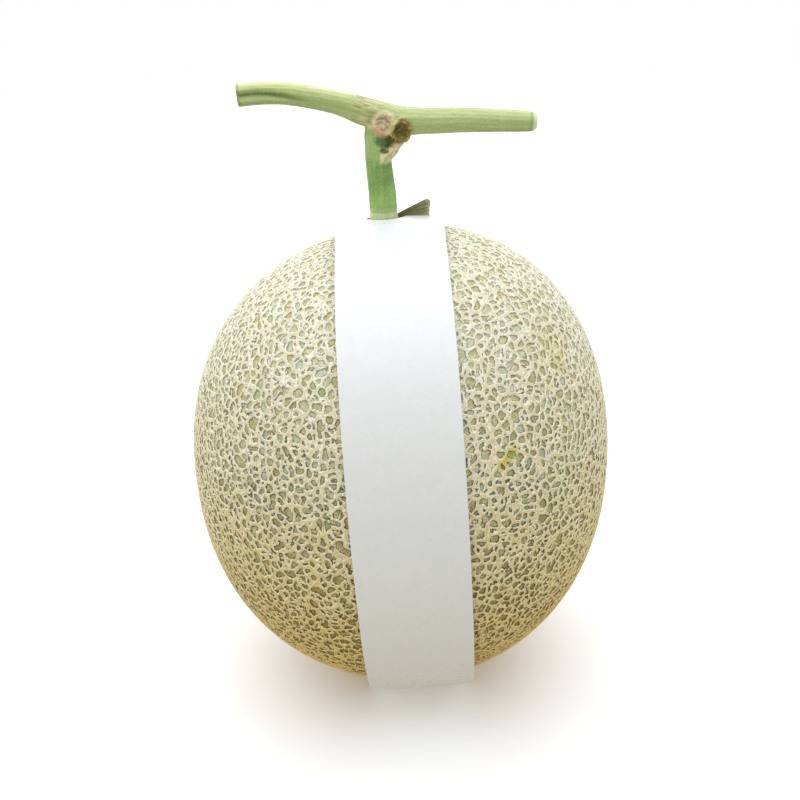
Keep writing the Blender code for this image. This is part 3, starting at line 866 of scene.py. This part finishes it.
def groove_share(x, angle):
    """How deep in the left arm's groove a place is, from 0 to 1: the groove sinks towards the underside."""
    line = math.radians(-85.0) - math.radians(35.0) * smooth_step(x, -44 * MM, -20 * MM)
    off = np.angle(np.exp(1j * (angle - line)))
    return np.exp(-(off / GROOVE_WIDTH) ** 2) * smooth_step(-x, 20 * MM, 36 * MM)


def vine_body():
    """The cut vine: a ribbed tube along its path, with a groove along the front of its left arm."""
    path, radius = smooth_stem(VINE, 220)
    outline = radius * (1.0 + RIDGE_DEPTH * np.cos(STALK_RIDGES * STALK_TURN + 0.4))
    outline = outline - GROOVE_DEPTH * groove_share(path[:, :1], STALK_TURN)
    return closed_tube(path, *path_frame(path), outline)


def pedicel_body():
    """The pedicel: a ribbed tube that widens to the swollen foot below and to the vine above."""
    top = np.array([PEDICEL_X, PEDICEL_Y, FRUIT_UPPER_HEIGHT])
    foot = MIDDLE[2] + float(fruit_reach(unit(top))) + GAP
    collar_top = foot + COLLAR_HEIGHT
    rise = VINE_LEVEL - collar_top
    rows = [(foot, 0.2, COLLAR_RADIUS), (foot + 0.45 * COLLAR_HEIGHT, 0.2, COLLAR_RADIUS * 0.97),
            (collar_top, 0.3, COLLAR_RADIUS * 0.58), (collar_top + 1.5 * MM, 0.3, PEDICEL_RADIUS * 1.12)]
    for share, shift, wider in ((0.30, 0.0, 1.08), (0.62, -0.8, 1.02), (0.85, -0.5, 1.10), (1.0, 0.2, 1.1)):
        rows.append((collar_top + share * rise, shift, PEDICEL_RADIUS * wider))
    path, radius = smooth_stem([(PEDICEL_X + shift * MM, PEDICEL_Y, height, wide)
                                for height, shift, wide in rows], 110)
    ribs = RIDGE_DEPTH * np.cos(STALK_RIDGES * STALK_TURN + 0.6) + 0.012 * np.cos(14 * STALK_TURN)
    crease = np.exp(-((path[:, 2:] - collar_top - CREASE_RISE) / (0.5 * MM)) ** 2) * 0.22 * MM
    every = np.ones((len(path), 1))
    return closed_tube(path, every * (1.0, 0.0, 0.0), every * (0.0, 1.0, 0.0), radius * (1.0 + ribs) - crease)


def plain_stem(rows):
    """A round stem along a smooth path: the swelling under the torn shoot, and the pale ridge over it."""
    path, radius = smooth_stem(rows, 40)
    return closed_tube(path, *path_frame(path), radius * np.ones(STALK_SIDES))


def knob_body(centre, facing, rows, ragged):
    """A short round body that faces a way, from rows of distance and radius, with a ragged outline."""
    across = unit(np.cross(facing, np.array([0.0, 0.0, 1.0])))
    distance, radius = (column[:, None] * MM for column in np.array(rows).T)
    tear = np.sin(3 * STALK_TURN + 1.0) + 0.6 * np.sin(7 * STALK_TURN) + 0.4 * np.sin(13 * STALK_TURN + 2.0)
    every = np.ones((len(rows), 1))
    return closed_tube(centre + distance * facing, every * across, every * np.cross(facing, across),
                       radius * (1.0 + ragged * tear))


def joined(bodies):
    """All the bodies' places, quads and triangles, numbered as one."""
    starts = np.cumsum([0] + [len(places) for places, _, _ in bodies[:-1]])
    moved = [(places, quads + start, caps + start) for (places, quads, caps), start in zip(bodies, starts)]
    return [np.vstack(parts) for parts in zip(*moved)]


def skin_over(name, bodies, voxel, smoothing):
    """One closed mesh over overlapping bodies, in even cells, smoothed so that they flow into each other."""
    rough = new_mesh(name + "_rough", *joined(bodies))
    helper = new_piece(name + "_rough", rough, [])
    remesh = helper.modifiers.new("Remesh", "REMESH")
    remesh.mode = "VOXEL"
    remesh.voxel_size = voxel
    smooth = helper.modifiers.new("Smooth", "SMOOTH")
    smooth.factor = 0.5
    smooth.iterations = smoothing
    bpy.context.view_layer.update()
    mesh = bpy.data.meshes.new_from_object(helper.evaluated_get(bpy.context.evaluated_depsgraph_get()))
    mesh.name = name
    bpy.data.objects.remove(helper)
    bpy.data.meshes.remove(rough)
    return mesh


def mesh_places(mesh):
    """The vertices' places and normals, as arrays."""
    places, normals = np.empty((2, len(mesh.vertices) * 3), np.float32)
    mesh.vertices.foreach_get("co", places)
    mesh.vertex_normals.foreach_get("vector", normals)
    return places.reshape(-1, 3).astype(float), normals.reshape(-1, 3).astype(float)


def near_to(places, centre, reach, facing=None):
    """1 at a centre and 0 past a reach, smoothly; measured across the facing where one is given."""
    off = places - centre
    if facing is not None:
        off = off - (off @ facing)[:, None] * facing
    return 1.0 - smooth_step(np.linalg.norm(off, axis=1), 0.6 * reach, reach)


def stalk_regions(places):
    """Where each place lies: x, angle and length on the vine, turn round the pedicel, and region shares."""
    at = SimpleNamespace()
    path, radius = smooth_stem(VINE, 300)
    across, side = path_frame(path)
    nearest = ((places[:, None, :] - path[None, :, :]) ** 2).sum(axis=-1).argmin(axis=1)
    off = places - path[nearest]
    at.x = path[nearest, 0]
    at.angle = np.arctan2((off * side[nearest]).sum(axis=-1), (off * across[nearest]).sum(axis=-1))
    at.length = np.append(0.0, np.cumsum(np.linalg.norm(np.diff(path, axis=0), axis=1)))[nearest]
    at.turn = np.arctan2(places[:, 1] - PEDICEL_Y, places[:, 0] - PEDICEL_X)
    outside = np.linalg.norm(off, axis=1) / radius[nearest, 0]
    at.pedicel = smooth_step(outside, 1.12, 1.35) * (np.abs(places[:, 0] - PEDICEL_X) < 12 * MM)
    at.vine = 1.0 - at.pedicel
    at.scar = near_to(places, SCAR, 4.8 * MM, SCAR_FACING) * near_to(places, SCAR, 6.4 * MM)
    at.torn = near_to(places, SHOOT, 4.7 * MM, SHOOT_FACING) * near_to(places, SHOOT, 7.0 * MM)
    path, radius = smooth_stem(PALE_RIDGE, 60)
    far = ((places[:, None, :] - path[None]) ** 2).sum(axis=-1)
    off_ridge = np.sqrt(far.min(axis=1)) - radius[far.argmin(axis=1), 0]
    at.ridge = 1.0 - smooth_step(off_ridge, 0.1 * MM, 0.7 * MM)
    at.ridge *= smooth_step(places[:, 2] - VINE_LEVEL, -14.2 * MM, -11.8 * MM)
    at.bud = near_to((places - BUD) * (0.7, 0.6, 1.5), 0.0, 1.2 * MM)
    vine_ribs = 0.05 * MM * np.cos(16 * at.angle + 4 * lattice_noise(places / (9 * MM), 61))
    pedicel_ribs = 0.10 * MM * np.cos(22 * at.turn + 3 * lattice_noise(places / (8 * MM), 62))
    at.ribs = vine_ribs * at.vine + pedicel_ribs * at.pedicel
    return at


def stalk_relief(places, at):
    """How far each place moves out: ribs where the skin is whole, lumps where it is torn, and a sunk bud."""
    lumps = lattice_noise(places / (0.7 * MM), 60) - 0.5
    relief = at.ribs * (1.0 - np.maximum(at.scar, at.torn))
    relief += lumps * (0.10 * MM + 0.55 * MM * np.maximum(0.6 * at.scar, at.torn))
    return relief - 0.5 * MM * at.bud


def laid_over(colours, *layers):
    """Colours with others laid over them in turn, each a share for each place and values from 0 to 255."""
    for share, values in layers:
        colours = colours + (np.array(paint(*values)) - colours) * np.clip(share, 0.0, 1.0)[:, None]
    return colours


def round_and_along(angle, wide, length, cell):
    """Places for noise drawn out along a stem: a circle round it, and one step for each cell of length."""
    return stacked(np.cos(angle) * wide, np.sin(angle) * wide, length / cell)


def vine_colours(at, up):
    """The vine's green with pale and dark streaks, a yellow-cream painted highlight on its top, and painted
    shade in its groove and on its underside.
    """
    streaks = lattice_noise(round_and_along(at.angle, 2.6, at.length, 22 * MM), 64)
    left_arm = smooth_step(-at.x, 8 * MM, 18 * MM) * at.vine
    return laid_over(np.array(paint(166, 186, 120)),
                     (smooth_step(streaks, 0.40, 0.90) * 0.6, (206, 214, 166)),
                     (smooth_step(streaks, 0.55, 0.10) * 0.45, (122, 154, 76)),
                     # Painted highlight where the vine faces up, strongest on the left arm.
                     (smooth_step(up, 0.2, 0.9) * (0.25 + 0.45 * left_arm), (222, 218, 168)),
                     (np.exp(-((up - 0.55) / 0.22) ** 2) * left_arm * 0.55, (140, 164, 84)),
                     # Painted shade in the groove.
                     (groove_share(at.x, at.angle) * 0.95, (84, 108, 28)),
                     # Painted shade where the vine faces down.
                     (smooth_step(-up, 0.1, 0.8) * at.vine * 0.45, (128, 150, 66)))


def pedicel_colours(at, places, broad):
    """The pedicel's deeper green, paler towards its foot, with two fine creases above it and painted shade
    below the pale ridge.
    """
    streaks = lattice_noise(round_and_along(at.turn, 4, places[:, 2], 12 * MM), 65)
    foot = MIDDLE[2] + FRUIT_UPPER_HEIGHT
    crease = foot + COLLAR_HEIGHT + CREASE_RISE + 0.4 * MM + 0.6 * MM * (broad - 0.5)
    above = places[:, 2] - crease
    faint = 0.6 * smooth_step(broad, 0.2, 0.6)
    lines = [(faint * np.exp(-((above - rise) / (0.28 * MM)) ** 2), (108, 144, 54))
             for rise in (0.0, 1.5 * MM)]
    return laid_over(np.array(paint(122, 160, 78)),
                     (smooth_step(streaks, 0.4, 0.9) * 0.45, (164, 190, 116)),
                     (smooth_step(broad, 0.5, 0.8) * 0.4, (98, 138, 54)),
                     (near_to(places, PALE_SPOT, 5.0 * MM) * 0.5, (166, 194, 132)),
                     # Painted shade below the pale ridge.
                     (near_to(places, SHADE_BELOW_RIDGE, 5.0 * MM) * 0.5, (86, 130, 44)),
                     (0.7 * (1.0 - smooth_step(above, 0.0, 9.0 * MM)), (150, 186, 102)),
                     (0.9 * (1.0 - smooth_step(above, -2.0 * MM, 2.0 * MM)), (210, 220, 172)),
                     *lines)


def stalk_colours(at, places, normals):
    """Colours of vine and pedicel, the joint's streaks, the cut ends, the ridge and painted shade in the
    hollow above it, the scar and the shoot.
    """
    broad = lattice_noise(places / (6 * MM), 63)
    colours = vine_colours(at, normals[:, 2])
    colours = colours + (pedicel_colours(at, places, broad) - colours) * at.pedicel[:, None]
    drawn = stacked(at.length / (2.4 * MM), at.angle * 7.0, 0.0)
    light_streaks = smooth_step(lattice_noise(drawn, 66), 0.45, 0.85)
    dark_streaks = smooth_step(lattice_noise(drawn * (1.0, 1.6, 1.0), 67), 0.52, 0.80)
    end = smooth_step(at.x + 0.5 * MM * (broad - 0.5), 44.9 * MM, 46.2 * MM) * at.vine
    ridge_low = smooth_step(VINE_LEVEL - places[:, 2], 7.0 * MM, 11.0 * MM)
    speckle = smooth_step(lattice_noise(places / (0.9 * MM), 70), 0.50, 0.80)
    hollow_shade = near_to((places - HOLLOW) * (0.75, 0.8, 1.2), 0.0, 3.4 * MM)
    colours = laid_over(colours,
                        (at.joint * light_streaks * 0.70, (212, 204, 160)),
                        (at.joint * dark_streaks * 0.70, (138, 132, 60)),
                        (end, (216, 224, 184)),
                        (np.exp(-((at.x - 45.3 * MM) / (0.55 * MM)) ** 2) * 0.55, (112, 142, 74)),
                        (smooth_step(-at.x, 46.4 * MM, 47.6 * MM) * 0.7, (138, 134, 66)),
                        (at.ridge * 0.85, (230, 204, 170)),
                        (at.ridge * ridge_low * 0.8, (212, 212, 172)),
                        (at.ridge * speckle * 0.7, (140, 164, 88)),
                        # Painted shade in the hollow between the leaf scar and the pale ridge.
                        (hollow_shade * (1.0 - at.ridge) * 0.9, (56, 92, 34)),
                        (at.bud * 0.9, (104, 100, 34)))

    dots = smooth_step(lattice_noise(places / (0.55 * MM), 68), 0.40, 0.62)
    disc = near_to(places, SCAR, 3.3 * MM, SCAR_FACING) * at.scar
    low_rim = at.scar * (1.0 - disc) * smooth_step(SCAR[2] - places[:, 2], 0.2 * MM, 2.2 * MM)
    low_rim *= smooth_step(at.ribs + at.x, 2.0 * MM, -2.0 * MM)
    ragged = smooth_step(lattice_noise(places / (0.9 * MM), 69), 0.55, 0.85)
    inside = near_to(places, SHOOT, 3.0 * MM, SHOOT_FACING) * at.torn
    towards_scar = smooth_step((places - SHOOT) @ (-0.8, 0.0, 0.6), 1.2 * MM, 2.6 * MM)
    return laid_over(colours,
                     (at.scar, (226, 214, 180)),
                     (disc * (0.40 + 0.5 * dots), (154, 122, 108)),
                     (low_rim * 0.9, (206, 132, 84)),
                     (at.torn, (132, 112, 42)),
                     (at.torn * ragged, (206, 188, 124)),
                     (inside * 0.75, (92, 76, 24)),
                     (at.torn * (1.0 - inside) * towards_scar * 0.8, (224, 212, 150)))


def drawn_noise(tree, name, **settings):
    """Noise at the places that the mesh holds under this name, which are drawn out along its fibres."""
    given = {"Vector": stored(tree, name, "Vector"), "Scale": 1.0, **settings}
    return add_node(tree, "ShaderNodeTexNoise", given).outputs["Fac"]


def stalk_finish():
    """Green skin with fine lengthwise fibres and pale specks, over the colours laid on the mesh."""
    material, tree, shader = new_finish("green_stalk_skin", paint(150, 170, 100), 0.5)
    given = stored(tree, "stalk_colour", "Color")
    fibre = drawn_noise(tree, "stalk_fibre", Detail=3.0, Roughness=0.6)
    colour = mix_colours(tree, step_between(tree, fibre, 0.30, 0.72), tinted(tree, given, (0.88, 0.91, 0.80)),
                         tinted(tree, given, (1.10, 1.08, 1.10)))
    colour = layered(tree, colour, (mottle(tree, 0.40 * MM, -0.4, 0.28), (230, 236, 200)))
    dry = stored(tree, "stalk_dry")
    relief = calculate(tree, "ADD", fibre, calculate(tree, "MULTIPLY", mottle(tree, 0.3 * MM), dry))
    feed(tree, shader, {"Base Color": colour,
                        "Roughness": ranged(tree, dry, 0.0, 1.0, 0.45, 0.85),
                        "Normal": bumped(tree, relief, 0.12 * MM, 0.7)})
    return material


def make_stalk():
    """Skin over the stalk's bodies, then its fine relief and its colours, laid on by place."""
    bodies = [vine_body(), pedicel_body(), plain_stem(SWELLING), plain_stem(PALE_RIDGE),
              knob_body(SCAR, SCAR_FACING, SCAR_RIM, 0.03), knob_body(SHOOT, SHOOT_FACING, TORN_SHOOT, 0.10)]
    mesh = skin_over("cut_stalk", bodies, STALK_VOXEL, STALK_SMOOTHING)
    places, normals = mesh_places(mesh)
    at = stalk_regions(places)
    places = places + normals * stalk_relief(places, at)[:, None]
    mesh.vertices.foreach_set("co", places.astype(np.float32).ravel())
    mesh.update()
    at.joint = near_to(places, JOINT, 9.0 * MM) * at.vine
    colours = stalk_colours(at, places, normals)
    store(mesh, "stalk_colour", np.hstack([colours, np.ones((len(colours), 1))]))
    fibre = round_and_along(at.angle, 10, at.length, 4 * MM)
    pedicel_fibre = round_and_along(at.turn, 12, places[:, 2], 3.4 * MM)
    store(mesh, "stalk_fibre", np.where(at.pedicel[:, None] > 0.5, pedicel_fibre, fibre))
    store(mesh, "stalk_dry", np.clip(at.scar + at.torn + 0.6 * at.joint + 0.5 * at.ridge, 0.0, 1.0))
    mesh.shade_smooth()
    piece = new_piece("cut_stalk", mesh, [stalk_finish()])
    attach(piece, "root")
    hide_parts("stalk")


make_stalk()


# The dried bract.
# A papery scrap of leaf that dried beside the pedicel's foot: thin, brown and fan-shaped, with fine veins
# that spread from its narrow root and a torn pale outer edge.

BRACT_LENGTH = 12.0 * MM
BRACT_WIDTH = 6.2 * MM
BRACT_RISE = 4.1 * MM
BRACT_THICKNESS = 0.28 * MM
BRACT_ROWS = 60
BRACT_COLUMNS = 44
BRACT_TONES = ((0.0, (74, 74, 32)), (0.45, (106, 104, 58)), (0.85, (138, 134, 90)), (1.0, (188, 184, 146)))


def bract_finish():
    """Dull olive-brown leaf, veined lengthwise, with a paler torn edge."""
    material, tree, shader = new_finish("dried_bract_leaf", paint(120, 112, 74), 0.75)
    vein = step_between(tree, drawn_noise(tree, "bract_fibre", Detail=2.0), 0.40, 0.62)
    colour = layered(tree, graded(tree, stored(tree, "bract_along"), BRACT_TONES),
                     (calculate(tree, "MULTIPLY", vein, 0.35), (164, 160, 116)),
                     (mottle(tree, 1.4 * MM, -0.2, 0.35), (88, 86, 44)))
    feed(tree, shader, {"Base Color": colour, "Normal": bumped(tree, vein, 0.10 * MM, 0.8)})
    return material


def make_bract():
    """A fan on a grid: along from the root to the torn edge, across from the lower to the upper edge.

    Width = full width * (0.10 + 0.90 * along^0.9). The blade cups towards the front at both edges, waves with
    its veins, and is closed by a second face one thickness behind the first.
    """
    along, across = np.meshgrid(np.linspace(0.0, 1.0, BRACT_ROWS), np.linspace(0.0, 1.0, BRACT_COLUMNS),
                                indexing="ij")
    along, across = along.ravel(), across.ravel()
    tear = lattice_noise(stacked(across * 9.0, 0.0, 0.0), 80)
    corner = smooth_step(across, 0.75, 1.0) ** 2
    reach = along * (1.0 - 0.09 * corner - 0.05 * (1.0 - across) - 0.02 * tear)
    width = BRACT_WIDTH * (0.10 + 0.90 * along ** 0.9)
    foot = MIDDLE[2] + FRUIT_UPPER_HEIGHT + BRACT_RISE
    x = PEDICEL_X + PEDICEL_RADIUS * 1.02 + BRACT_LENGTH * reach
    z = foot + 0.10 * BRACT_LENGTH * along + width * (across - 0.30)
    y = PEDICEL_Y + 1.5 * MM * along - 1.3 * MM * along * (2 * across - 1) ** 2
    y = y + 0.16 * MM * along * np.cos(across * 26.0) + 0.5 * MM * along * (tear - 0.5)
    face = stacked(x, y, z)
    half = np.array([0.0, BRACT_THICKNESS / 2, 0.0])
    rim, after = grid_rim(BRACT_ROWS, BRACT_COLUMNS)
    faces = thin_faces(grid_quads(BRACT_ROWS, BRACT_COLUMNS)[:, ::-1], after, rim, len(face))
    mesh = new_mesh("bract_leaf", np.vstack([face - half, face + half]), faces)
    mesh.set_sharp_from_angle(angle=math.radians(50.0))
    store(mesh, "bract_along", np.tile(along, 2))
    store(mesh, "bract_fibre", np.tile(stacked(across * 16.0, along * 1.6, 0.0), (2, 1)))
    piece = new_piece("bract_leaf", mesh, [bract_finish()])
    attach(piece, "root")
    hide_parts("dried_bract")


make_bract()
